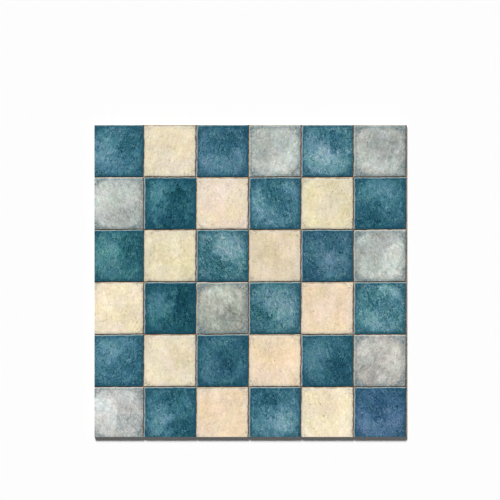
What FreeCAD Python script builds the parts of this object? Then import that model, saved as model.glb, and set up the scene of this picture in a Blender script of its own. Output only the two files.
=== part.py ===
"""Peel and stick backsplash tile: one square sheet of stiff printed PVC on its release liner.

The sheet lies face up. X runs across the front from left to right, Y runs up the front, and Z
points out of the printed face. The origin is the middle of the liner's underside. Millimetres.

The face is pressed with shallow grout joints that divide it into squares. The print repeats past
the sheet and is die-cut where the sheet ends, so the joints at the right edge and at the top edge
are cut along their length, and the first column and the last row of squares are a little narrower
than the others.
"""

import FreeCAD, Part
import math
import os

import Sketcher

DIMENSIONS = [
    ("sheet_width", 304.8, "left cut edge to right cut edge"),
    ("sheet_height", 304.8, "bottom cut edge to top cut edge"),
    ("sheet_thickness", 1.5, "PVC sheet with the adhesive coat on its back"),
    ("liner_thickness", 0.15, "siliconised paper, peeled off before the sheet is stuck up"),
    ("square_pitch", 51.2, "one printed square and one joint"),
    ("right_joint_inset", 0.4, "right cut edge to the middle of the last upright joint"),
    ("top_joint_inset", 0.1, "top cut edge to the middle of the first level joint"),
    ("joint_depth", 0.35, "face of the squares down to the floor of a joint"),
    ("joint_floor_width", 0.8, "flat floor of a joint"),
    ("shoulder_radius", 0.6, "rounded edge of a square where it drops into a joint"),
]
START, END, CENTRE = 1, 2, 3  # the points of a line or an arc, as sketch constraints name them
SKETCH_ORIGIN = (-1, START)


def make_sizes(doc):
    """The spreadsheet of driving dimensions: a name, a value and a meaning on each row."""
    sizes = doc.addObject("Spreadsheet::Sheet", "sizes")
    for row, (alias, value, meaning) in enumerate(DIMENSIONS, start=1):
        sizes.set(f"A{row}", alias)
        sizes.set(f"B{row}", str(value))
        sizes.set(f"C{row}", meaning)
        sizes.setAlias(f"B{row}", alias)
    doc.recompute()
    return sizes


def origin_feature(body, role):
    """One of the body's own planes or axes, such as XY_Plane or X_Axis."""
    return next(feature for feature in body.Origin.OriginFeatures if feature.Role == role)


def plane_sketch(body, name, role):
    """An empty sketch on one of the body's own planes."""
    sketch = body.newObject("Sketcher::SketchObject", name)
    sketch.AttachmentSupport = [(origin_feature(body, role), "")]
    sketch.MapMode = "FlatFace"
    return sketch


def constrain(sketch, kind, *geometry, driven_by=None):
    """Adds one constraint. With driven_by, its value is bound to that expression."""
    index = sketch.addConstraint(Sketcher.Constraint(kind, *geometry))
    if driven_by:
        sketch.setExpression(f"Constraints[{index}]", driven_by)


def die_cut_blank(body, sizes, thickness):
    """The die-cut outline, a rectangle centred on the origin, padded up from z = 0."""
    outline = plane_sketch(body, "die_cut_outline", "XY_Plane")
    width, height = sizes.sheet_width, sizes.sheet_height
    corners = [
        FreeCAD.Vector(-width / 2, -height / 2, 0),
        FreeCAD.Vector(width / 2, -height / 2, 0),
        FreeCAD.Vector(width / 2, height / 2, 0),
        FreeCAD.Vector(-width / 2, height / 2, 0),
    ]
    bottom, right, top, left = (
        outline.addGeometry(Part.LineSegment(first, second))
        for first, second in zip(corners, corners[1:] + corners[:1])
    )
    for edge, following in ((bottom, right), (right, top), (top, left), (left, bottom)):
        constrain(outline, "Coincident", edge, END, following, START)
    for edge in (bottom, top):
        constrain(outline, "Horizontal", edge)
    for edge in (right, left):
        constrain(outline, "Vertical", edge)
    constrain(outline, "Symmetric", bottom, START, top, START, *SKETCH_ORIGIN)
    constrain(outline, "DistanceX", bottom, START, bottom, END, width, driven_by="sizes.sheet_width")
    constrain(outline, "DistanceY", right, START, right, END, height, driven_by="sizes.sheet_height")

    blank = body.newObject("PartDesign::Pad", "die_cut_blank")
    blank.Profile = outline
    blank.setExpression("Length", thickness)
    body.Tip = blank


def joint_profile(body, sizes, name, plane, span, inset):
    """Section across one pressed joint, its middle `inset` short of the end of the sheet's `span`.

    On each side of the flat floor an arc rises to the face of the square and meets it tangent, so
    the square has a rounded shoulder. Above the face the section goes straight up by one more
    depth, which only makes the cut clean.
    """
    profile = plane_sketch(body, name, plane)
    face, depth = sizes.sheet_thickness, sizes.joint_depth
    radius, floor_width = sizes.shoulder_radius, sizes.joint_floor_width
    reach = math.sqrt(radius**2 - (radius - depth) ** 2)
    foot_angle = math.asin((radius - depth) / radius)
    floor_left = sizes.get(span) / 2 - sizes.get(inset) - floor_width / 2
    floor_right = floor_left + floor_width

    def line(first, second):
        return profile.addGeometry(
            Part.LineSegment(FreeCAD.Vector(*first, 0), FreeCAD.Vector(*second, 0))
        )

    def shoulder(centre_along, first_angle, last_angle):
        centre = FreeCAD.Vector(centre_along, face - radius, 0)
        circle = Part.Circle(centre, FreeCAD.Vector(0, 0, 1), radius)
        return profile.addGeometry(Part.ArcOfCircle(circle, first_angle, last_angle))

    wide_left, wide_right = floor_left - reach, floor_right + reach
    low, lid_height = face - depth, face + depth
    floor = line((floor_left, low), (floor_right, low))
    right_shoulder = shoulder(wide_right, math.pi / 2, math.pi - foot_angle)
    right_wall = line((wide_right, face), (wide_right, lid_height))
    lid = line((wide_right, lid_height), (wide_left, lid_height))
    left_wall = line((wide_left, lid_height), (wide_left, face))
    left_shoulder = shoulder(wide_left, foot_angle, math.pi / 2)

    for first, first_point, second, second_point in (
        (floor, END, right_shoulder, END),
        (right_shoulder, START, right_wall, START),
        (right_wall, END, lid, START),
        (lid, END, left_wall, START),
        (left_wall, END, left_shoulder, END),
        (left_shoulder, START, floor, START),
    ):
        constrain(profile, "Coincident", first, first_point, second, second_point)
    for edge in (floor, lid):
        constrain(profile, "Horizontal", edge)
    for edge in (right_wall, left_wall):
        constrain(profile, "Vertical", edge)
    constrain(profile, "Vertical", right_shoulder, CENTRE, right_shoulder, START)
    constrain(profile, "Vertical", left_shoulder, CENTRE, left_shoulder, END)
    constrain(profile, "Horizontal", left_shoulder, END, right_shoulder, START)
    constrain(profile, "Equal", left_shoulder, right_shoulder)
    constrain(profile, "Radius", right_shoulder, radius, driven_by="sizes.shoulder_radius")
    constrain(
        profile, "DistanceX", floor, START, floor, END, floor_width,
        driven_by="sizes.joint_floor_width",
    )
    constrain(
        profile, "DistanceY", floor, START, left_shoulder, END, depth,
        driven_by="sizes.joint_depth",
    )
    constrain(
        profile, "DistanceY", right_wall, START, right_wall, END, depth,
        driven_by="sizes.joint_depth",
    )
    constrain(
        profile, "DistanceY", *SKETCH_ORIGIN, left_shoulder, END, face,
        driven_by="sizes.sheet_thickness",
    )
    constrain(
        profile, "DistanceX", *SKETCH_ORIGIN, floor, START, floor_left,
        driven_by=f"sizes.{span} / 2 - sizes.{inset} - sizes.joint_floor_width / 2",
    )
    return profile


def press_joints(body, sizes, direction, plane, axis, span, inset):
    """Presses one joint along the whole sheet and repeats it at the pitch of the squares.

    The first joint is the one nearest the right or top edge, `inset` in from it, and the copies
    step back towards the opposite edge as far as the sheet reaches.
    """
    profile = joint_profile(body, sizes, f"{direction}_joint_profile", plane, span, inset)
    before = body.Tip.Shape.Volume
    joint = body.newObject("PartDesign::Pocket", f"{direction}_joint")
    joint.Profile = profile
    joint.Type = "ThroughAll"
    joint.SideType = "Symmetric"
    body.Tip = joint
    body.Document.recompute()
    if not joint.Shape.Volume < before:
        raise RuntimeError(f"{joint.Name} cuts nothing")

    joints = body.newObject("PartDesign::LinearPattern", f"{direction}_joints")
    joints.Originals = [joint]
    joints.Direction = (origin_feature(body, axis), [""])
    joints.Reversed = True
    joints.Mode = "Spacing"
    joints.setExpression("Offset", "sizes.square_pitch")
    joints.setExpression(
        "Occurrences", f"floor((sizes.{span} - sizes.{inset}) / sizes.square_pitch) + 1"
    )
    body.Tip = joints


def make_tile_sheet(doc, sizes):
    """Printed PVC sheet, its face pressed with the two sets of joints that cross."""
    body = doc.addObject("PartDesign::Body", "tile_sheet")
    body.Label = "tile_sheet"
    die_cut_blank(body, sizes, "sizes.sheet_thickness")
    doc.recompute()
    press_joints(
        body, sizes, "upright", "XZ_Plane", "X_Axis", "sheet_width", "right_joint_inset"
    )
    doc.recompute()
    press_joints(
        body, sizes, "level", "YZ_Plane", "Y_Axis", "sheet_height", "top_joint_inset"
    )
    body.setExpression("Placement.Base.z", "sizes.liner_thickness")
    return body


def make_release_liner(doc, sizes):
    """Release paper under the whole sheet, cut by the same die."""
    body = doc.addObject("PartDesign::Body", "release_liner")
    body.Label = "release_liner"
    die_cut_blank(body, sizes, "sizes.liner_thickness")
    return body


def check(doc, pieces):
    """Stops if any object of the document failed, or if a piece isn't one valid solid."""
    failed = [o.Name for o in doc.Objects if {"Invalid", "Error"} & set(o.State)]
    if failed:
        raise RuntimeError(f"failed objects: {failed}")
    for piece in pieces:
        shape = piece.Shape
        if shape.isNull() or not shape.isValid() or len(shape.Solids) != 1:
            raise RuntimeError(f"{piece.Label} isn't one valid solid")


def main():
    doc = FreeCAD.newDocument("backsplash_tile")
    sizes = make_sizes(doc)
    pieces = [make_tile_sheet(doc, sizes), make_release_liner(doc, sizes)]
    doc.recompute()
    check(doc, pieces)
    os.makedirs("parts", exist_ok=True)
    for piece in pieces:
        piece.Shape.exportStep(f"parts/{piece.Label}.step")
        box = piece.Shape.BoundBox
        print(
            f"{piece.Label}: {piece.Shape.Volume:.1f} mm3, {len(piece.Shape.Faces)} faces, "
            f"x {box.XMin:.2f} to {box.XMax:.2f}, y {box.YMin:.2f} to {box.YMax:.2f}, "
            f"z {box.ZMin:.3f} to {box.ZMax:.3f}"
        )


main()
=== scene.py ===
import math

import bpy
import numpy as np
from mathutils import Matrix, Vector


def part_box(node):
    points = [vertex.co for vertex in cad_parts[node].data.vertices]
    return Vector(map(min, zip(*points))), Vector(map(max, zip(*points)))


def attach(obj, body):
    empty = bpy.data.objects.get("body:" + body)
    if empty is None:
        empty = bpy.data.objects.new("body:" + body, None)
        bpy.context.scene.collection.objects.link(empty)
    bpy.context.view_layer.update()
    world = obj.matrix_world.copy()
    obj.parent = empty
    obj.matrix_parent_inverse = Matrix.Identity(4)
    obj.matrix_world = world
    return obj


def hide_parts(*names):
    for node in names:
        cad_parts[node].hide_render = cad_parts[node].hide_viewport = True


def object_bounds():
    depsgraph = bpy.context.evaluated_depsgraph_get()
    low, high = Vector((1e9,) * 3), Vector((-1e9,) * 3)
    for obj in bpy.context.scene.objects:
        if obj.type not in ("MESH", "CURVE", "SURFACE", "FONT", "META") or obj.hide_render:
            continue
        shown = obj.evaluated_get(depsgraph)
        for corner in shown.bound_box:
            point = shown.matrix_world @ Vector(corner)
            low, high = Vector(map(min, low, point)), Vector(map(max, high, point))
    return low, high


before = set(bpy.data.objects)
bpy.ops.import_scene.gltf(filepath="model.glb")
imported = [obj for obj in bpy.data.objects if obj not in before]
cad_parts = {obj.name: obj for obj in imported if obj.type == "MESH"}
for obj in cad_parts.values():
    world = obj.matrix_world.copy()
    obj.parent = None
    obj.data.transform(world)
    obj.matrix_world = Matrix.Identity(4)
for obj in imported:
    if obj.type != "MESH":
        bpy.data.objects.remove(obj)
cad_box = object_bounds()

# Floor, light and camera.
# The sheet lies on a plain white floor and is seen from straight above. One soft lamp rakes over
# it from beyond its top edge and a little from the left, and a white room fills the shadows.
MM = 0.001
PHOTO_SIZE = 500
PIXELS_PER_MM = 1.0245
SHEET_CENTRE_PIXEL = (250.5, 280.8)
LENS_MM = 85
SENSOR_MM = 36
floor_size = 8
lamp_distance = 3

bpy.ops.object.select_all(action="DESELECT")
bpy.ops.mesh.primitive_plane_add(size=floor_size, location=(0, 0, cad_box[0].z))
floor = bpy.context.object
floor.name = "studio_floor"

photo_width = PHOTO_SIZE / PIXELS_PER_MM * MM
camera_x = (PHOTO_SIZE / 2 - SHEET_CENTRE_PIXEL[0]) / PIXELS_PER_MM * MM
camera_y = (SHEET_CENTRE_PIXEL[1] - PHOTO_SIZE / 2) / PIXELS_PER_MM * MM
camera_z = photo_width * LENS_MM / SENSOR_MM + cad_box[1].z
bpy.ops.object.camera_add(location=(camera_x, camera_y, camera_z), rotation=(0, 0, 0))
camera = bpy.context.object
camera.data.lens = LENS_MM
camera.data.sensor_width = SENSOR_MM
bpy.context.scene.camera = camera

# The lamp is kept out of the film's reflections, as a polarising filter would keep it.
lamp_from = Vector((-0.28, 1.0, 0.36)).normalized()
bpy.ops.object.light_add(type="SUN", location=lamp_from * lamp_distance)
lamp = bpy.context.object
lamp.name = "softbox"
lamp.rotation_euler = lamp_from.to_track_quat("Z", "Y").to_euler()
lamp.data.angle = math.radians(10)
lamp.data.energy = 8.35
lamp.visible_glossy = False

bpy.context.scene.view_settings.view_transform = "Standard"


def linear(hex_colour):
    """An sRGB hex colour as linear red, green, blue and an alpha of 1."""
    channels = [int(hex_colour[i : i + 2], 16) / 255 for i in (0, 2, 4)]
    return [c / 12.92 if c <= 0.04045 else ((c + 0.055) / 1.055) ** 2.4 for c in channels] + [1]


def add_node(tree, kind, inputs=None, output=0, **settings):
    """Adds one shader node, gives it its settings, fills or links its inputs, returns an output."""
    node = tree.nodes.new("ShaderNode" + kind)
    for name, value in settings.items():
        setattr(node, name, value)
    for key, value in (inputs or {}).items():
        if isinstance(value, bpy.types.NodeSocket):
            tree.links.new(value, node.inputs[key])
        else:
            node.inputs[key].default_value = value
    return node.outputs[output]


def new_material(name, base_colour, roughness, ior=1.5):
    """A material with plain settings, its node tree and its surface shader."""
    material = bpy.data.materials.new(name)
    material.use_nodes = True
    surface = material.node_tree.nodes["Principled BSDF"]
    surface.inputs["Base Color"].default_value = linear(base_colour)
    surface.inputs["Roughness"].default_value = roughness
    surface.inputs["IOR"].default_value = ior
    return material, material.node_tree, surface


# A white room with a dark ceiling, so the film over the print mirrors little of it upwards.
room = bpy.data.worlds.new("white_room")
room.use_nodes = True
looking = add_node(room.node_tree, "TexCoord")
upwards = add_node(room.node_tree, "SeparateXYZ", {0: looking}, output=2)
brightness = add_node(
    room.node_tree, "MapRange",
    {"Value": upwards, "From Min": 0.5, "From Max": 0.85, "To Min": 0.2, "To Max": 0.05},
)
room.node_tree.links.new(brightness, room.node_tree.nodes["Background"].inputs["Strength"])
room.node_tree.nodes["Background"].inputs["Color"].default_value = (1, 1, 1, 1)
bpy.context.scene.world = room

# Matt emulsion on board: nearly white, with no gloss.
white_board, tree, surface = new_material("white_matt_emulsion", "fefefe", 0.95)
surface.inputs["Specular IOR Level"].default_value = 0
floor.data.materials.append(white_board)

# Printed PVC sheet, its form.
# One stiff sheet of PVC. Its printed face is pressed with shallow grout joints, and the die cuts
# it out of a longer repeat, so the joints at the right and top edges are cut along their length.
square_pitch = 51.2 * MM
right_joint_inset = 0.4 * MM
top_joint_inset = 0.1 * MM
joint_depth = 0.35 * MM
joint_floor_width = 0.8 * MM
shoulder_radius = 0.6 * MM
shoulder_steps = 3
squares_per_side = 6
cuts_per_square = 23

# Two places that are closer than this are the same.
touch = 0.01 * MM

sheet_low, sheet_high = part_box("tile_sheet")
joints_x = [sheet_high.x - right_joint_inset - square_pitch * k for k in range(squares_per_side)]
joints_y = [sheet_high.y - top_joint_inset - square_pitch * k for k in range(squares_per_side)]
print_corner = (min(joints_x) - square_pitch, min(joints_y) - square_pitch)

# The section of half a joint: how far out from its middle, and how far below the face.
foot_angle = math.asin((shoulder_radius - joint_depth) / shoulder_radius)
shoulder_reach = shoulder_radius * math.cos(foot_angle)
joint_section = []
for step in range(shoulder_steps + 1):
    angle = foot_angle + (math.pi / 2 - foot_angle) * step / shoulder_steps
    out = joint_floor_width / 2 + shoulder_reach - shoulder_radius * math.cos(angle)
    joint_section.append((out, shoulder_radius * (1 - math.sin(angle))))

bpy.ops.object.select_all(action="DESELECT")
bpy.ops.mesh.primitive_plane_add(size=1)
sheet = bpy.context.object
sheet.name = "printed_pvc_sheet"
sheet_size = sheet_high - sheet_low
bpy.ops.transform.resize(value=(sheet_size.x, sheet_size.y, 1))
bpy.ops.transform.translate(value=(0, 0, sheet_high.z))
bpy.ops.object.transform_apply(location=True, rotation=True, scale=True)


def values_of(items, name, count=1, kind=float):
    """One property of all of a mesh's vertices, edges, faces or corners, a row of count each."""
    values = np.empty(len(items) * count, dtype=kind)
    items.foreach_get(name, values)
    return values.reshape(-1, count) if count > 1 else values


def select(piece, kind, chosen):
    """Goes into edit mode with only the chosen vertices or edges selected."""
    bpy.ops.object.mode_set(mode="EDIT")
    bpy.ops.mesh.select_mode(type={"vertices": "VERT", "edges": "EDGE"}[kind])
    bpy.ops.mesh.select_all(action="DESELECT")
    bpy.ops.object.mode_set(mode="OBJECT")
    getattr(piece.data, kind).foreach_set("select", chosen)
    bpy.ops.object.mode_set(mode="EDIT")


# Cuts along each joint, at its floor's two edges and at the steps of its rounded shoulders.
bpy.ops.object.mode_set(mode="EDIT")
for across, joints, low, high in (
    (Vector((1, 0, 0)), joints_x, sheet_low.x, sheet_high.x),
    (Vector((0, 1, 0)), joints_y, sheet_low.y, sheet_high.y),
):
    for middle in joints:
        for out, drop in joint_section:
            for place in (middle - out, middle + out):
                if low + touch < place < high - touch:
                    bpy.ops.mesh.select_all(action="SELECT")
                    bpy.ops.mesh.bisect(plane_co=across * place, plane_no=across)
bpy.ops.object.mode_set(mode="OBJECT")

# The print's own map: 1 unit is one square, and whole numbers are the middles of the joints.
# It is laid on while the joints are straight, so the print follows them where they wander.
sheet.data.uv_layers.remove(sheet.data.uv_layers[0])
print_map = sheet.data.uv_layers.new(name="print")
points = values_of(sheet.data.vertices, "co", 3)
corner_points = points[values_of(sheet.data.loops, "vertex_index", kind=int)]
print_map.uv.foreach_set("vector", ((corner_points[:, :2] - print_corner) / square_pitch).ravel())


def from_joint(places, joints):
    """How far each place is from the middle of the nearest joint."""
    return np.abs(places[:, None] - np.array(joints)[None, :]).min(axis=1)


# The joints are pressed down, each step of their section by its own drop.
nearest = np.minimum(from_joint(points[:, 0], joints_x), from_joint(points[:, 1], joints_y))
for out, drop in joint_section[:-1]:
    on_this_step = np.abs(nearest - out) < touch
    if out == joint_section[0][0]:
        on_this_step = nearest < out + touch
    select(sheet, "vertices", on_this_step)
    bpy.ops.transform.translate(value=(0, 0, -drop))
    bpy.ops.object.mode_set(mode="OBJECT")

# The joints lean a little from one crossing to the next, as they do between hand-made tiles.
lean = 0.15 * MM
share = (points[:, :2] - print_corner) / square_pitch % 1
off_the_sides = np.abs(points[:, 0]) < sheet_high.x - touch
off_the_ends = np.abs(points[:, 1]) < sheet_high.y - touch
for chosen, move in (
    (off_the_ends & (share[:, 0] > 0.5), (0, lean, 0)),
    (off_the_ends & (share[:, 0] <= 0.5), (0, -lean, 0)),
    (off_the_sides & (share[:, 1] > 0.5), (lean, 0, 0)),
    (off_the_sides & (share[:, 1] <= 0.5), (-lean, 0, 0)),
):
    select(sheet, "vertices", chosen)
    bpy.ops.transform.translate(value=move)
    bpy.ops.object.mode_set(mode="OBJECT")

# The squares get enough faces for their joints to wander and their glaze to ripple.
points = values_of(sheet.data.vertices, "co", 3)
ends = values_of(sheet.data.edges, "vertices", 2, int)
lengths = np.linalg.norm(points[ends[:, 0]] - points[ends[:, 1]], axis=1)
select(sheet, "edges", lengths > square_pitch / 2)
bpy.ops.mesh.subdivide(number_cuts=cuts_per_square, quadcorner="INNERVERT")
bpy.ops.object.mode_set(mode="OBJECT")

# The printed edges wander, and the die's cut round the sheet stays straight.
edge_fade = 3 * MM
points = values_of(sheet.data.vertices, "co", 3)
to_the_cut = np.minimum(sheet_high.x - np.abs(points[:, 0]), sheet_high.y - np.abs(points[:, 1]))
off_the_cut = sheet.vertex_groups.new(name="off_the_cut")
for index, distance in enumerate(to_the_cut):
    off_the_cut.add([index], min(1.0, max(0.0, distance / edge_fade)), "REPLACE")
for name, direction, basis, spacing, travel, middle in (
    ("long_wander_x", "X", "ORIGINAL_PERLIN", 19 * MM, 1.0 * MM, 0.5),
    ("long_wander_y", "Y", "IMPROVED_PERLIN", 21 * MM, 1.1 * MM, 0.5),
    ("short_wander_x", "X", "BLENDER_ORIGINAL", 4.5 * MM, 0.5 * MM, 0.5),
    ("short_wander_y", "Y", "ORIGINAL_PERLIN", 5 * MM, 0.5 * MM, 0.5),
    ("glaze_ripple", "Z", "BLENDER_ORIGINAL", 8 * MM, 0.07 * MM, 1.0),
):
    texture = bpy.data.textures.new(name, "CLOUDS")
    texture.noise_basis = basis
    texture.noise_scale = spacing
    texture.noise_depth = 1
    displace = sheet.modifiers.new(name, "DISPLACE")
    displace.texture = texture
    displace.texture_coords = "LOCAL"
    displace.direction = direction
    displace.strength = travel
    displace.mid_level = middle
    displace.vertex_group = "off_the_cut"
    bpy.ops.object.modifier_apply(modifier=name)

# The cut edge goes down in three bands, the printed film, the core and the adhesive coat, and
# one flat face closes the back.
film_thickness = 0.12 * MM
adhesive_thickness = 0.12 * MM
bpy.ops.object.mode_set(mode="EDIT")
bpy.ops.mesh.select_all(action="SELECT")
bpy.ops.mesh.region_to_loop()
bpy.ops.mesh.extrude_region_move(TRANSFORM_OT_translate={"value": (0, 0, -film_thickness)})
for height in (sheet_low.z + adhesive_thickness, sheet_low.z):
    bpy.ops.mesh.extrude_region_move(TRANSFORM_OT_translate={"value": (0, 0, 0)})
    bpy.ops.transform.resize(value=(1, 1, 0), center_override=(0, 0, height))
bpy.ops.mesh.edge_face_add()
bpy.ops.mesh.select_all(action="SELECT")
bpy.ops.mesh.normals_make_consistent(inside=False)
bpy.ops.object.mode_set(mode="OBJECT")
bpy.ops.object.shade_smooth_by_angle(angle=math.radians(40))

# Printed PVC sheet, its print.
# Thirty-six squares of aged glaze and the grout between them, printed by rotogravure in inks of
# three families on the film that faces the PVC.
INKS = {
    "slate": ("blue", "4d8092"),
    "storm": ("blue", "548595"),
    "indigo": ("blue", "4d7b8f"),
    "night": ("blue", "4a7689"),
    "mist": ("blue", "6593a1"),
    "haze": ("blue", "5c8b96"),
    "surf": ("blue", "61929d"),
    "steel": ("blue", "447888"),
    "deep": ("blue", "3e6f80"),
    "lagoon": ("blue", "356d7b"),
    "abyss": ("blue", "2f6573"),
    "sea": ("blue", "447c85"),
    "denim": ("blue", "4e7391"),
    "ivory": ("cream", "f0e5cf"),
    "primrose": ("cream", "eee4c8"),
    "straw": ("cream", "fbeed6"),
    "peach": ("cream", "f6e1c9"),
    "rose": ("cream", "f5e5d3"),
    "buff": ("cream", "e8d9c1"),
    "silver": ("grey", "c3cac7"),
    "pearl": ("grey", "cccfcf"),
    "ash": ("grey", "b8bebc"),
    "dove": ("grey", "c3c2be"),
    "olive": ("grey", "b0b5ad"),
}

# Each square in words, row by row from the top: its ink, the two places where the glaze pools
# dark, the two where it is pale, and how strong all of that is. A place in small letters is half
# as far from the middle of the square, and "-" is one too far off to show.
SQUARES = (
    ("slate NE,e w,W faint", "ivory w,- NE,- soft", "indigo NE,n SW,SE faint",
     "silver nw,W SE,S soft", "mist N,NE s,sw soft", "ash n,e S,sw clear"),
    ("silver SE,S NW,W soft", "lagoon ne,S NW,w strong", "rose s,- C,- faint",
     "storm N,e W,NE clear", "primrose E,NE W,- clear", "steel SW,S N,n soft"),
    ("sea E,NE W,nw soft", "primrose NW,SE C,- clear", "haze S,W ne,n clear",
     "buff w,- NE,- soft", "night SW,N s,C soft", "silver N,W SE,E clear"),
    ("straw SE,E nw,- soft", "abyss NE,SE W,nw strong", "olive s,SE N,nw strong",
     "haze SW,W e,n soft", "peach NW,- s,- soft", "surf e,NW NE,s clear"),
    ("slate E,S NW,n faint", "ivory E,- SW,- soft", "deep ne,s SW,N soft",
     "peach nw,- E,- soft", "deep SE,E W,NW soft", "dove SW,sw E,NW clear"),
    ("pearl SE,E W,NW clear", "steel SE,N SW,w clear", "peach NE,W C,- soft",
     "storm NW,N SE,s clear", "straw NW,W SE,- soft", "denim nw,NE SW,E faint"),
)
SIDES = {
    "C": (0, 0), "N": (0, 1), "S": (0, -1), "E": (1, 0), "W": (-1, 0),
    "NE": (0.8, 0.8), "NW": (-0.8, 0.8), "SE": (0.8, -0.8), "SW": (-0.8, -0.8), "-": (9, 9),
}
STRENGTHS = {"faint": 0.7, "soft": 0.8, "clear": 1.0, "strong": 1.3}
middle_to_side_mm = 15

# Which square each face is in, and with it the face's ink, its pools and its blooms.
faces = sheet.data.polygons
starts = values_of(faces, "loop_start", kind=int)
totals = values_of(faces, "loop_total", kind=int)
corner_places = values_of(sheet.data.uv_layers["print"].uv, "vector", 2)
face_places = np.add.reduceat(corner_places, starts) / totals[:, None]
columns = np.clip(face_places[:, 0].astype(int), 0, squares_per_side - 1)
rows = squares_per_side - 1 - np.clip(face_places[:, 1].astype(int), 0, squares_per_side - 1)
words = np.array([[square.split() for square in row] for row in SQUARES])[rows, columns]
inks = np.array([linear(INKS[ink][1]) for ink in words[:, 0]])
sheet.data.attributes.new("ink", "FLOAT_COLOR", "FACE").data.foreach_set("color", inks.ravel())
for name, word, which in (
    ("pool_one", 1, 0), ("pool_two", 1, 1), ("bloom_one", 2, 0), ("bloom_two", 2, 1),
):
    sides = [places.split(",")[which] for places in words[:, word]]
    reach = np.array([0.5 if side.islower() else 1.0 for side in sides]) * middle_to_side_mm
    centres = np.array([(*SIDES[side.upper()], 0) for side in sides]) * reach[:, None]
    attribute = sheet.data.attributes.new(name, "FLOAT_VECTOR", "FACE")
    attribute.data.foreach_set("vector", centres.ravel())
strengths = np.array([STRENGTHS[word] for word in words[:, 3]])
sheet.data.attributes.new("strength", "FLOAT", "FACE").data.foreach_set("value", strengths)

# Each face's material: its family of inks, the grout's print in the floors of the joints, the
# three bands of the cut edge, and the adhesive all over the back. Faces that hardly point upwards
# are off the printed face.
MATERIAL_ORDER = ("blue", "cream", "grey", "grout", "film_edge", "core", "adhesive")
face_materials = np.array([MATERIAL_ORDER.index(INKS[ink][0]) for ink in words[:, 0]])
to_a_joint = np.abs(face_places - np.round(face_places)).min(axis=1) * square_pitch
face_materials[to_a_joint < joint_floor_width / 2] = MATERIAL_ORDER.index("grout")
points = values_of(sheet.data.vertices, "co", 3)
corner_heights = points[values_of(sheet.data.loops, "vertex_index", kind=int), 2]
least_upwards = 0.3
off_the_face = values_of(faces, "normal", 3)[:, 2] < least_upwards
adhesive_top = sheet_low.z + adhesive_thickness + touch
reaches_adhesive = off_the_face & (np.minimum.reduceat(corner_heights, starts) < adhesive_top)
all_adhesive = off_the_face & (np.maximum.reduceat(corner_heights, starts) < adhesive_top)
face_materials[off_the_face] = MATERIAL_ORDER.index("film_edge")
face_materials[reaches_adhesive] = MATERIAL_ORDER.index("core")
face_materials[all_adhesive] = MATERIAL_ORDER.index("adhesive")
faces.foreach_set("material_index", face_materials)

pitch_mm = square_pitch / MM


def print_places(tree):
    """Where a point is from the middle of its square, in mm, the same with the squares moved
    apart so that no two are alike, and the number of its square across and up."""
    place = add_node(tree, "UVMap", uv_map="print")
    number = add_node(tree, "VectorMath", {0: place}, operation="FLOOR")
    share = add_node(tree, "VectorMath", {0: place}, operation="FRACTION")
    in_square = add_node(
        tree, "VectorMath",
        {0: share, 1: (pitch_mm, pitch_mm, 0), 2: (-pitch_mm / 2, -pitch_mm / 2, 0)},
        operation="MULTIPLY_ADD",
    )
    squares_apart = (97, 61, 0)
    apart = add_node(
        tree, "VectorMath", {0: number, 1: squares_apart, 2: in_square}, operation="MULTIPLY_ADD"
    )
    return in_square, apart, number


def moved(tree, place, seed, size, travel):
    """A place moved about by noise with marks of that size, by up to half that travel, in mm."""
    noise = add_node(tree, "TexNoise", {"Vector": seed, "Scale": 1 / size, "Detail": 3}, output=1)
    step = add_node(
        tree, "VectorMath",
        {0: noise, 1: (travel, travel, 0), 2: (-travel / 2, -travel / 2, 0)},
        operation="MULTIPLY_ADD",
    )
    return add_node(tree, "VectorMath", {0: step, 1: place}, operation="ADD")


def from_sides(tree, place):
    """How far in mm a place is from the middles of the joints at its left, top, right, bottom."""
    across = add_node(tree, "SeparateXYZ", {0: place})
    up = across.node.outputs[1]
    return [
        add_node(tree, "Math", {0: pitch_mm / 2, 1: along}, operation=operation)
        for along, operation in (
            (across, "ADD"), (up, "SUBTRACT"), (across, "SUBTRACT"), (up, "ADD"),
        )
    ]


def from_rounded_edge(tree, place, corner_radius):
    """How far in mm a place is inside the edge of its square, were its corners rounded."""
    straight = pitch_mm / 2 - corner_radius
    spread = add_node(tree, "VectorMath", {0: place}, operation="ABSOLUTE")
    past_straight = add_node(
        tree, "VectorMath", {0: spread, 1: (straight, straight, 0)}, operation="SUBTRACT"
    )
    in_corner = add_node(
        tree, "VectorMath", {0: past_straight, 1: (0, 0, 0)}, operation="MAXIMUM"
    )
    from_arc = add_node(tree, "VectorMath", {0: in_corner}, output=1, operation="LENGTH")
    across = add_node(tree, "SeparateXYZ", {0: past_straight})
    past_either = add_node(
        tree, "Math", {0: across, 1: across.node.outputs[1]}, operation="MAXIMUM"
    )
    within_both = add_node(tree, "Math", {0: past_either, 1: 0}, operation="MINIMUM")
    outwards = add_node(tree, "Math", {0: from_arc, 1: within_both}, operation="ADD")
    return add_node(tree, "Math", {0: corner_radius, 1: outwards}, operation="SUBTRACT")


def brushed(tree, place, number, length, width):
    """A place in a pattern that a steep brush draws out, leaning by turns from square to square."""
    chance = add_node(tree, "TexWhiteNoise", {"Vector": number}, noise_dimensions="2D")
    leaning = add_node(
        tree, "MapRange",
        {"Value": chance, "From Min": 0.2, "From Max": 0.8, "To Min": math.radians(68),
         "To Max": math.radians(112)},
        interpolation_type="SMOOTHSTEP",
    )
    turn = add_node(tree, "CombineXYZ", {2: leaning})
    return add_node(
        tree, "Mapping", {"Vector": place, "Rotation": turn, "Scale": (length, width, 1)},
        vector_type="TEXTURE",
    )


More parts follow.
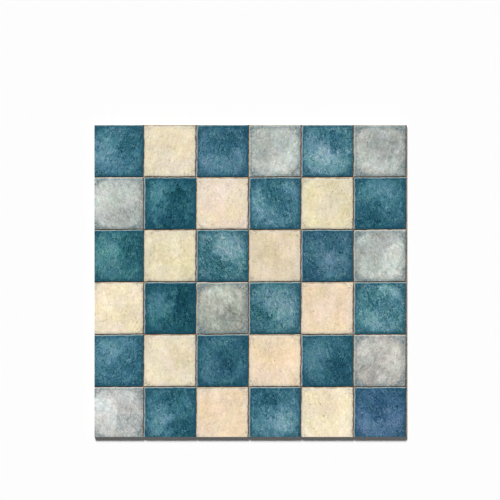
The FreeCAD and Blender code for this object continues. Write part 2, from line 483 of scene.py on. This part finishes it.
def mottling(tree, place, layers):
    """Noise as a depth of glaze, around 0. Each layer has the size of its marks in mm, its
    detail, its roughness, its distortion and its depth."""
    depth = -sum(layer[-1] for layer in layers) / 2
    for size, detail, roughness, distortion, layer_depth in layers:
        marks = add_node(
            tree, "TexNoise",
            {"Vector": place, "Scale": 1 / size, "Detail": detail, "Roughness": roughness,
             "Distortion": distortion},
        )
        depth = add_node(
            tree, "Math", {0: marks, 1: layer_depth, 2: depth}, operation="MULTIPLY_ADD"
        )
    return depth


def pooled(tree, depth, in_square, apart, pool_depth, bloom_depth):
    """The depth with the dark pools and the pale blooms of each square, with ragged outlines."""
    gone_at, full_at = 20, 3
    second_share = 0.8
    ragged_place = moved(tree, in_square, apart, size=8, travel=34)
    for attribute, full_depth in (
        ("pool_one", pool_depth), ("pool_two", pool_depth * second_share),
        ("bloom_one", -bloom_depth), ("bloom_two", -bloom_depth * second_share),
    ):
        centre = add_node(tree, "Attribute", output=1, attribute_name=attribute)
        distance = add_node(
            tree, "VectorMath", {0: ragged_place, 1: centre}, output=1, operation="DISTANCE"
        )
        amount = add_node(
            tree, "MapRange",
            {"Value": distance, "From Min": gone_at, "From Max": full_at, "To Max": full_depth},
            interpolation_type="SMOOTHSTEP",
        )
        depth = add_node(tree, "Math", {0: depth, 1: amount}, operation="ADD")
    return depth


def grained(tree, depth, apart, stroked, grains):
    """The depth with its grain, and how coarse the grain is: coarser where the glaze is dark,
    and calm in some places and busy in others. Its dark side is a little the stronger."""
    by_darkness = add_node(
        tree, "MapRange",
        {"Value": depth, "From Min": -0.8, "From Max": 1.1, "To Min": 0.75, "To Max": 1.5},
        interpolation_type="SMOOTHSTEP",
    )
    bustle_size = 7
    bustle = add_node(
        tree, "TexNoise", {"Vector": apart, "Scale": 1 / bustle_size, "Detail": 2}
    )
    by_bustle = add_node(
        tree, "MapRange",
        {"Value": bustle, "From Min": 0.35, "From Max": 0.65, "To Min": 0.5, "To Max": 1.5},
        interpolation_type="SMOOTHSTEP",
    )
    coarseness = add_node(tree, "Math", {0: by_darkness, 1: by_bustle}, operation="MULTIPLY")
    grain = mottling(tree, stroked, grains)
    dark_gain = 0.25
    squared = add_node(tree, "Math", {0: grain, 1: grain}, operation="MULTIPLY")
    grain = add_node(tree, "Math", {0: squared, 1: dark_gain, 2: grain}, operation="MULTIPLY_ADD")
    depth = add_node(tree, "Math", {0: grain, 1: coarseness, 2: depth}, operation="MULTIPLY_ADD")
    return depth, coarseness


def flecked(tree, depth, apart, stroked, coarseness, size, radius, rarity, fleck_depth):
    """The depth with pits and flecks, where a cell of that size is one of those with a mark."""
    full_radius = 0.3 * radius
    place = moved(tree, stroked, apart, size=1.2, travel=1.2)
    distance = add_node(tree, "TexVoronoi", {"Vector": place, "Scale": 1 / size})
    chance = add_node(tree, "SeparateColor", {0: distance.node.outputs["Color"]})
    has_mark = add_node(tree, "Math", {0: chance, 1: rarity}, operation="GREATER_THAN")
    mark = add_node(
        tree, "MapRange",
        {"Value": distance, "From Min": radius / size, "From Max": full_radius / size,
         "To Max": fleck_depth},
        interpolation_type="SMOOTHSTEP",
    )
    mark = add_node(tree, "Math", {0: mark, 1: has_mark}, operation="MULTIPLY")
    return add_node(tree, "Math", {0: mark, 1: coarseness, 2: depth}, operation="MULTIPLY_ADD")


def seen_through(tree, depth, apart, transmission, drifts):
    """The ink's colour through that depth of glaze, drifting between tints. Each drift has the
    size of its marks in mm and its two tints."""
    ink = add_node(tree, "Attribute", attribute_name="ink")
    passed = [
        add_node(tree, "Math", {0: channel, 1: depth}, operation="POWER")
        for channel in transmission
    ]
    tints = [add_node(tree, "CombineColor", dict(enumerate(passed)))]
    for size, tint_one, tint_two in drifts:
        drift = add_node(
            tree, "TexNoise", {"Vector": apart, "Scale": 1 / size, "Detail": 5, "Roughness": 0.65}
        )
        drift = add_node(
            tree, "MapRange", {"Value": drift, "From Min": 0.35, "From Max": 0.65},
            interpolation_type="SMOOTHSTEP",
        )
        tints.append(add_node(
            tree, "Mix", {0: drift, 6: linear(tint_one), 7: linear(tint_two)}, output=2,
            data_type="RGBA",
        ))
    colour = ink
    for tint in tints:
        colour = add_node(
            tree, "Mix", {0: 1, 6: colour, 7: tint}, output=2, data_type="RGBA",
            blend_type="MULTIPLY",
        )
    return colour


def scratched(tree, colour, apart, zones, strokes):
    """The colour with broken strokes of other inks in its zones. A zone is the distances that it
    reads, each with where it is gone and where it is full. A stroke has its zone, the size of
    its marks in mm, the noise where it begins and where it is full, its share and its ink."""
    zone_shares = {}
    for zone, reads in zones.items():
        share = 1
        for distance, gone_at, full_at in reads:
            within = add_node(
                tree, "MapRange", {"Value": distance, "From Min": gone_at, "From Max": full_at},
                interpolation_type="SMOOTHSTEP",
            )
            share = add_node(tree, "Math", {0: share, 1: within}, operation="MULTIPLY")
        zone_shares[zone] = share
    for zone, size, begins, full, share, stroke_ink in strokes:
        marks = add_node(
            tree, "TexNoise", {"Vector": apart, "Scale": 1 / size, "Detail": 5, "Roughness": 0.78}
        )
        marks = add_node(
            tree, "MapRange",
            {"Value": marks, "From Min": begins, "From Max": full, "To Max": share},
            interpolation_type="SMOOTHSTEP",
        )
        marks = add_node(tree, "Math", {0: zone_shares[zone], 1: marks}, operation="MULTIPLY")
        colour = add_node(
            tree, "Mix", {0: marks, 6: colour, 7: linear(stroke_ink)}, output=2, data_type="RGBA"
        )
    return colour


def strip(distance, begins, full_from, full_to, gone_at):
    """A zone along a line at that distance, which fades at both its sides."""
    return (distance, begins, full_from), (distance, gone_at, full_to)


def glaze_print(
    name, transmission, clouds, grains, grain_stretch, pool_depth, bloom_depth, rounding, frames,
    frame_shift, outline, corner_reach, edge_reach, strokes, rims, flecks, lines, drifts,
):
    """Aged glaze as rotogravure ink on PVC, under a matt film. The glaze is taken as a depth
    that darkens the ink's colour. All sizes are in mm.

    transmission is what one depth lets through of red, green and blue. rounding is the corner
    radius of the frames, which have where they begin and are full, and their depth. frame_shift
    moves the frames so that they are wider away from the light, as painted shade. outline has
    the four distances of its strip. corner_reach and edge_reach have where strokes are gone and
    full. rims are those by the lit and the dark sides: where each is full and gone, and its
    depth. flecks have the size of their cells, their radius, their rarity and their depth. lines
    are the printed edges at the left, top, right and bottom, with a painted highlight on the lit
    sides and painted shade on the others: their colour, their share, and where they are full
    and gone.
    """
    material, tree, surface = new_material(name, "808080", 0.36, ior=1.52)
    in_square, apart, number = print_places(tree)
    depth = mottling(tree, brushed(tree, apart, number, length=1.25, width=0.85), clouds)
    depth = pooled(tree, depth, in_square, apart, pool_depth, bloom_depth)

    # A darker frame with rounded corners: a soft part and a crisp one. It is shifted to lie wider
    # away from the light, and that extra width is painted shade.
    wandering = moved(tree, in_square, apart, size=9, travel=4)
    wandering = moved(tree, wandering, apart, size=1.8, travel=1.6)
    frame_place = add_node(tree, "VectorMath", {0: wandering, 1: frame_shift}, operation="ADD")
    inside = from_rounded_edge(tree, frame_place, rounding)
    for begins, full, frame_depth in frames:
        darkening = add_node(
            tree, "MapRange",
            {"Value": inside, "From Min": begins, "From Max": full, "To Max": frame_depth},
            interpolation_type="SMOOTHSTEP",
        )
        depth = add_node(tree, "Math", {0: depth, 1: darkening}, operation="ADD")

    # All of that is as strong as the square's word says, and nowhere is the glaze paler than a
    # limit. The grain lies over it.
    strength = add_node(tree, "Attribute", output=2, attribute_name="strength")
    depth = add_node(tree, "Math", {0: depth, 1: strength}, operation="MULTIPLY")
    palest, softness = -1.1, 0.9
    depth = add_node(tree, "Math", {0: depth, 1: palest, 2: softness}, operation="SMOOTH_MAX")
    stroked = brushed(tree, apart, number, *grain_stretch)
    depth, coarseness = grained(tree, depth, apart, stroked, grains)

    # Narrow rims along the printed edges. The die has cut into the one at the sheet's right edge.
    cut_off = 0.45
    side_place = moved(tree, in_square, apart, size=5, travel=2.2)
    left, top, right, bottom = from_sides(tree, side_place)
    column = add_node(tree, "SeparateXYZ", {0: number})
    in_last_column = add_node(
        tree, "Math", {0: column, 1: squares_per_side - 1.5}, operation="GREATER_THAN"
    )
    right = add_node(
        tree, "Math", {0: in_last_column, 1: cut_off, 2: right}, operation="MULTIPLY_ADD"
    )
    for one_side, other_side, (full_at, gone_at, rim_depth) in (
        (left, top, rims[0]), (right, bottom, rims[1]),
    ):
        side = add_node(tree, "Math", {0: one_side, 1: other_side}, operation="MINIMUM")
        rim = add_node(
            tree, "MapRange",
            {"Value": side, "From Min": gone_at, "From Max": full_at, "To Max": rim_depth},
            interpolation_type="SMOOTHSTEP",
        )
        depth = add_node(tree, "Math", {0: depth, 1: rim}, operation="ADD")

    depth = flecked(tree, depth, apart, stroked, coarseness, *flecks)
    colour = seen_through(tree, depth, apart, transmission, drifts)

    # Darker ink as outlines along the edges, washes in the corners, and nicks.
    edge_place = moved(tree, in_square, apart, size=9, travel=1.2)
    edge_place = moved(tree, edge_place, apart, size=1.8, travel=0.6)
    from_edge = from_rounded_edge(tree, edge_place, corner_radius=4)
    from_middle = add_node(tree, "VectorMath", {0: frame_place}, output=1, operation="LENGTH")
    inner_line = (2.4, 3.0, 3.4, 4.4)
    zones = {
        "corner": ((from_middle, *corner_reach),),
        "outline": strip(from_edge, *outline),
        "inner": strip(inside, *inner_line),
        "edge": ((inside, *edge_reach),),
    }
    colour = scratched(tree, colour, apart, zones, strokes)

    # The printed edges of the joints, paler to the left and above and dark on the other sides: the
    # grout's edge with a painted highlight on the lit sides and painted shade on the others.
    for side, (line, line_share, full_to, gone_at) in zip((left, top, right, bottom), lines):
        share = add_node(
            tree, "MapRange",
            {"Value": side, "From Min": gone_at, "From Max": full_to, "To Max": line_share},
            interpolation_type="SMOOTHSTEP",
        )
        colour = add_node(
            tree, "Mix", {0: share, 6: colour, 7: linear(line)}, output=2, data_type="RGBA"
        )
    tree.links.new(colour, surface.inputs["Base Color"])

    # The matt film's grain, which is really finer and is drawn coarse enough to show.
    film_grain = 0.7
    film = add_node(tree, "TexNoise", {"Vector": apart, "Scale": 1 / film_grain, "Detail": 1})
    bump = add_node(tree, "Bump", {"Height": film, "Strength": 0.3, "Distance": 0.02 * MM})
    tree.links.new(bump, surface.inputs["Normal"])
    return material


# Blue to the eye: cloudy and brushed, inky in pits, pools and corners, and pale where it is thin.
blue_print = glaze_print(
    "blue_glaze_print_on_pvc",
    transmission=(0.36, 0.565, 0.615),
    clouds=((13, 4, 0.6, 0.6, 1.6), (5, 3, 0.65, 0.3, 2.0)),
    grains=((2.6, 3, 0.7, 0, 4.0), (0.95, 2, 0.75, 0, 6.0)), grain_stretch=(1.5, 0.85),
    pool_depth=0.9, bloom_depth=0.6,
    rounding=11, frames=((8.5, 2.5, 0.2), (3.6, 2.0, 0.08)), frame_shift=(0.6, -0.6, 0),
    outline=(1.2, 1.7, 2.2, 3.1), corner_reach=(22, 29), edge_reach=(4.0, 0.5),
    strokes=(
        ("corner", 9, 0.36, 0.6, 0.6, "164a5c"), ("outline", 12, 0.4, 0.56, 0.6, "1b4f6b"),
        ("outline", 5, 0.48, 0.62, 0.4, "0f5263"), ("inner", 3, 0.46, 0.6, 0.25, "143f50"),
        ("corner", 2.4, 0.5, 0.57, 0.45, "0f3a4a"), ("edge", 1.6, 0.53, 0.6, 0.5, "143f50"),
    ),
    rims=((1.5, 2.6, 0.15), (1.2, 2.6, 0.1)),
    flecks=(2.6, 0.65, 0.45, 1.0),
    lines=(
        ("7f9ba6", 0.85, 0.9, 1.6), ("768e92", 0.8, 0.8, 1.3),
        ("2a6072", 0.85, 1.0, 1.5), ("33697b", 0.7, 1.0, 1.5),
    ),
    drifts=((20, "fbf7ff", "f3fffa"), (9, "fffcf6", "f4fbff")),
)

# Cream to the eye: nearly even, a little pink or yellow by turns, with scratched grey corners, a
# pale outline and a few dark specks.
cream_print = glaze_print(
    "cream_glaze_print_on_pvc",
    transmission=(0.72, 0.72, 0.69),
    clouds=((16, 3, 0.5, 0.3, 1.7), (5, 3, 0.6, 0.2, 1.4)),
    grains=((2.6, 3, 0.7, 0, 1.9), (0.95, 2, 0.7, 0, 1.8)), grain_stretch=(1.2, 0.95),
    pool_depth=0.25, bloom_depth=0.2,
    rounding=5, frames=((3.0, 1.2, 0.15),), frame_shift=(0.5, -0.3, 0),
    outline=(1.2, 1.7, 2.4, 3.6), corner_reach=(26.5, 31), edge_reach=(2.6, 0.2),
    strokes=(
        ("outline", 4, 0.35, 0.5, 0.6, "e0dbcf"), ("corner", 8, 0.48, 0.62, 0.45, "8d8a7c"),
        ("corner", 2.2, 0.51, 0.57, 0.5, "77756b"), ("corner", 1.8, 0.53, 0.58, 0.5, "f2ead8"),
        ("inner", 3, 0.5, 0.62, 0.2, "8d8a7c"), ("edge", 1.6, 0.54, 0.6, 0.55, "817d6d"),
    ),
    rims=((1.2, 1.8, 0.1), (1.2, 1.8, 0.0)),
    flecks=(5, 0.9, 0.65, 1.5),
    lines=(
        ("bfb29a", 0.8, 0.9, 1.4), ("8f8371", 0.85, 0.9, 1.7),
        ("6f6451", 0.8, 1.0, 1.4), ("95876f", 0.75, 0.8, 1.2),
    ),
    drifts=((18, "fffafa", "fefff8"), (27, "fffdf0", "fafcff")),
)

# Grey to the eye: soft clouds of silver, with a blue-grey frame, rounded and scratched corners.
grey_print = glaze_print(
    "grey_glaze_print_on_pvc",
    transmission=(0.58, 0.585, 0.585),
    clouds=((13, 4, 0.55, 0.4, 1.6), (5, 3, 0.6, 0.3, 1.7)),
    grains=((2.6, 3, 0.7, 0, 2.0), (0.95, 2, 0.7, 0, 2.15)), grain_stretch=(1.25, 0.95),
    pool_depth=0.35, bloom_depth=0.3,
    rounding=11, frames=((9.0, 1.5, 0.25),), frame_shift=(0.6, -0.2, 0),
    outline=(1.6, 2.0, 2.5, 3.2), corner_reach=(24.2, 28.2), edge_reach=(4.5, 0.5),
    strokes=(
        ("corner", 13, 0.44, 0.54, 0.55, "6a7f86"), ("corner", 2.6, 0.47, 0.54, 0.6, "4f6468"),
        ("corner", 2.0, 0.52, 0.58, 0.65, "ccd3cf"), ("outline", 10, 0.38, 0.54, 0.4, "7595a0"),
        ("outline", 4, 0.46, 0.6, 0.3, "5f757c"), ("inner", 3, 0.46, 0.6, 0.25, "62747b"),
        ("edge", 1.6, 0.53, 0.59, 0.5, "62747b"),
    ),
    rims=((1.2, 1.8, 0.0), (1.2, 2.2, 0.05)),
    flecks=(2.8, 0.65, 0.6, 0.6),
    lines=(
        ("a9a99c", 0.7, 0.8, 1.3), ("9f9f96", 0.7, 0.8, 1.3),
        ("7b7870", 0.85, 1.0, 1.4), ("9a988f", 0.8, 0.8, 1.3),
    ),
    drifts=((20, "fffaf9", "fafffb"), (17, "fffdf8", "fafcff")),
)

# Grout as printed ink with painted light: a dark line of painted shade on the side away from the
# light, and pale tan as a painted highlight on the other.
grout_print, tree, surface = new_material("grout_print_on_pvc", "8a7a66", 0.5, ior=1.52)
in_square, apart, number = print_places(tree)
side_place = moved(tree, in_square, apart, size=5, travel=1.0)
left, top, right, bottom = from_sides(tree, side_place)
lit_side = add_node(tree, "Math", {0: left, 1: top}, operation="MINIMUM")
dark_side = add_node(tree, "Math", {0: right, 1: bottom}, operation="MINIMUM")
nearer_lit = add_node(tree, "Math", {0: dark_side, 1: lit_side}, operation="SUBTRACT")
more_level = add_node(tree, "Math", {0: right, 1: bottom}, operation="SUBTRACT")
grout_place = add_node(tree, "TexCoord", output=3)
sideways = add_node(tree, "SeparateXYZ", {0: grout_place})
past_middle, on_lit_side, in_level_joint, past_cut = [
    add_node(
        tree, "MapRange", {"Value": distance, "From Min": begins, "From Max": full},
        interpolation_type="SMOOTHSTEP",
    )
    for distance, begins, full in (
        (lit_side, -0.15, 0.35), (nearer_lit, -0.1, 0.1), (more_level, 0, 0.4),
        (sideways, joints_x[0] - 0.1 * MM, joints_x[0] + 0.2 * MM),
    )
]

# The die has cut off the side of the joint with the painted highlight at the right edge.
before_cut = add_node(tree, "Math", {0: 1, 1: past_cut}, operation="SUBTRACT")
painted_highlight_share = add_node(tree, "Math", {0: past_middle, 1: on_lit_side}, operation="MULTIPLY")
painted_highlight_share = add_node(tree, "Math", {0: painted_highlight_share, 1: before_cut}, operation="MULTIPLY")

# Stains of three sizes, each read further along so that they lie apart.
stains = []
for spacing, further_along in ((5, 0), (9, 1), (14, 2)):
    stain_place = add_node(
        tree, "VectorMath", {0: grout_place, 1: (further_along, further_along, 0)},
        operation="ADD",
    )
    stain = add_node(
        tree, "TexNoise", {"Vector": stain_place, "Scale": 1 / (spacing * MM), "Detail": 4}
    )
    stains.append(add_node(
        tree, "MapRange", {"Value": stain, "From Min": 0.4, "From Max": 0.6},
        interpolation_type="SMOOTHSTEP",
    ))
small_stains, middling_stains, broad_stains = stains


def layered_colour(tree, ground, layers):
    """A ground colour with stains and other layers laid over it: where each lies, how strong it is
    there, and its colour.
    """
    colour = linear(ground)
    for where, strength, stain in layers:
        share = add_node(tree, "Math", {0: where, 1: strength}, operation="MULTIPLY")
        colour = add_node(
            tree, "Mix", {0: share, 6: colour, 7: linear(stain)}, output=2, data_type="RGBA"
        )
    return colour


# The grout's colour with its stains, in two painted tones: pale tan as painted highlight on the lit
# side, and dark brown as painted shade on the other.
grout_with_painted_highlight = layered_colour(
    tree, "ad6f3d", ((small_stains, 1, "e6d8c4"), (middling_stains, 0.4, "dcb3a6"))
)
grout_with_painted_shade = layered_colour(tree, "24170f", (
    (small_stains, 1, "8e4f22"), (middling_stains, 0.6, "4c451c"), (broad_stains, 0.5, "55494a"),
    # The painted shade is lighter in the level joints, which the lamp already shades.
    (in_level_joint, 0.35, "8f7a63"),
))
cut_grout = layered_colour(tree, "7c8074", ((small_stains, 1, "a89f8a"),))
grout = add_node(
    tree, "Mix", {0: painted_highlight_share, 6: grout_with_painted_shade, 7: grout_with_painted_highlight}, output=2, data_type="RGBA"
)
most_cut_share = 0.8
cut_share = add_node(tree, "Math", {0: past_cut, 1: most_cut_share}, operation="MULTIPLY")
grout = add_node(tree, "Mix", {0: cut_share, 6: grout, 7: cut_grout}, output=2, data_type="RGBA")
tree.links.new(grout, surface.inputs["Base Color"])


def die_marks(tree, spacing):
    """Fine upright marks, as a die drags down a cut edge, drawn coarse enough to show."""
    drag = 12
    place = add_node(tree, "TexCoord", output=3)
    drawn_out = add_node(
        tree, "Mapping", {"Vector": place, "Scale": (1, 1, drag)}, vector_type="TEXTURE"
    )
    return add_node(
        tree, "TexNoise",
        {"Vector": drawn_out, "Scale": 1 / spacing, "Detail": 3, "Roughness": 0.6},
    )


# Clear film seen edge on: milky, with the ink of its square showing through.
film_edge, tree, surface = new_material("die_cut_film_over_ink", "e9e6dd", 0.35, ior=1.52)
ink = add_node(tree, "Attribute", attribute_name="ink")
streaks = die_marks(tree, spacing=0.8 * MM)
ink_share = add_node(
    tree, "MapRange",
    {"Value": streaks, "From Min": 0.3, "From Max": 0.7, "To Min": 0.45, "To Max": 0.65},
    interpolation_type="SMOOTHSTEP",
)
milky = add_node(
    tree, "Mix", {0: ink_share, 6: linear("e9e6dd"), 7: ink}, output=2, data_type="RGBA"
)
tree.links.new(milky, surface.inputs["Base Color"])

# Rigid foamed PVC, cut: off-white and matt, with specks of chalk filler, which are really finer
# and are drawn coarse enough to show, and the die's marks.
core, tree, surface = new_material("die_cut_rigid_pvc", "e2dfd6", 0.6, ior=1.53)
core_place = add_node(tree, "TexCoord", output=3)
speck_size = 0.35 * MM
filler = add_node(tree, "TexNoise", {"Vector": core_place, "Scale": 1 / speck_size, "Detail": 2})
filler = add_node(
    tree, "MapRange", {"Value": filler, "From Min": 0.35, "From Max": 0.65},
    interpolation_type="SMOOTHSTEP",
)
scrapes = add_node(
    tree, "MapRange",
    {"Value": die_marks(tree, spacing=0.6 * MM), "From Min": 0.3, "From Max": 0.7},
    interpolation_type="SMOOTHSTEP",
)
chalky = add_node(
    tree, "Mix", {0: filler, 6: linear("d8d4c9"), 7: linear("eae8e1")}, output=2,
    data_type="RGBA",
)
scrape_share = add_node(tree, "Math", {0: scrapes, 1: 0.35}, operation="MULTIPLY")
scraped = add_node(
    tree, "Mix", {0: scrape_share, 6: chalky, 7: linear("c9c4b7")}, output=2, data_type="RGBA"
)
tree.links.new(scraped, surface.inputs["Base Color"])
core_bump = add_node(tree, "Bump", {"Height": scrapes, "Strength": 0.4, "Distance": 0.03 * MM})
tree.links.new(core_bump, surface.inputs["Normal"])

# Acrylic adhesive, coated: glossy and faintly yellow, with the orange peel of the coating.
adhesive, tree, surface = new_material("acrylic_adhesive_coat", "e3dcc4", 0.2, ior=1.47)
adhesive_place = add_node(tree, "TexCoord", output=3)
thick_patch_size = 9 * MM
thickness = add_node(
    tree, "TexNoise", {"Vector": adhesive_place, "Scale": 1 / thick_patch_size, "Detail": 3}
)
thickness = add_node(
    tree, "MapRange", {"Value": thickness, "From Min": 0.3, "From Max": 0.7},
    interpolation_type="SMOOTHSTEP",
)
yellowed = add_node(
    tree, "Mix", {0: thickness, 6: linear("e9e3cf"), 7: linear("dcd3b5")}, output=2,
    data_type="RGBA",
)
tree.links.new(yellowed, surface.inputs["Base Color"])
dimple_size = 2.5 * MM
orange_peel = add_node(
    tree, "TexNoise", {"Vector": adhesive_place, "Scale": 1 / dimple_size, "Detail": 1}
)
adhesive_bump = add_node(
    tree, "Bump", {"Height": orange_peel, "Strength": 0.5, "Distance": 0.05 * MM}
)
tree.links.new(adhesive_bump, surface.inputs["Normal"])

for material in (
    blue_print, cream_print, grey_print, grout_print, film_edge, core, adhesive,
):
    sheet.data.materials.append(material)

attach(sheet, "root")
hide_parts("tile_sheet")

# Release liner.
# One sheet of bleached kraft paper, siliconised on the side that lies on the adhesive and plain
# on the other. It is cut by the same die, and is peeled off before the sheet is stuck up.
liner_paper, tree, surface = new_material("siliconised_kraft_paper", "e8e4d6", 0.5, ior=1.45)
liner_place = add_node(tree, "TexCoord", output=3)

# Paper to the eye: warm white, cloudy as its pulp settled, with short fibres the way it ran. The
# fibres are really finer and are drawn coarse enough to show.
pulp_cloud_size = 4.5 * MM
fibre_width = 0.5 * MM
fibre_stretch = 6
pulp = add_node(
    tree, "TexNoise",
    {"Vector": liner_place, "Scale": 1 / pulp_cloud_size, "Detail": 4, "Roughness": 0.6},
)
pulp = add_node(
    tree, "MapRange", {"Value": pulp, "From Min": 0.3, "From Max": 0.7},
    interpolation_type="SMOOTHSTEP",
)
along_the_web = add_node(
    tree, "Mapping", {"Vector": liner_place, "Scale": (fibre_stretch, 1, 1)},
    vector_type="TEXTURE",
)
fibres = add_node(
    tree, "TexNoise",
    {"Vector": along_the_web, "Scale": 1 / fibre_width, "Detail": 3, "Distortion": 0.8},
)
fibres = add_node(
    tree, "MapRange", {"Value": fibres, "From Min": 0.35, "From Max": 0.65},
    interpolation_type="SMOOTHSTEP",
)
cloudy = add_node(
    tree, "Mix", {0: pulp, 6: linear("e3decd"), 7: linear("efece1")}, output=2, data_type="RGBA"
)
fibre_share = add_node(tree, "Math", {0: fibres, 1: 0.3}, operation="MULTIPLY")
fibrous = add_node(
    tree, "Mix", {0: fibre_share, 6: cloudy, 7: linear("d6cfba")}, output=2, data_type="RGBA"
)
tree.links.new(fibrous, surface.inputs["Base Color"])
gloss = add_node(
    tree, "MapRange", {"Value": pulp, "To Min": 0.42, "To Max": 0.58},
    interpolation_type="SMOOTHSTEP",
)
tree.links.new(gloss, surface.inputs["Roughness"])
paper_bump = add_node(tree, "Bump", {"Height": fibres, "Strength": 0.35, "Distance": 0.02 * MM})
tree.links.new(paper_bump, surface.inputs["Normal"])
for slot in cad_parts["release_liner"].material_slots:
    slot.material = liner_paper
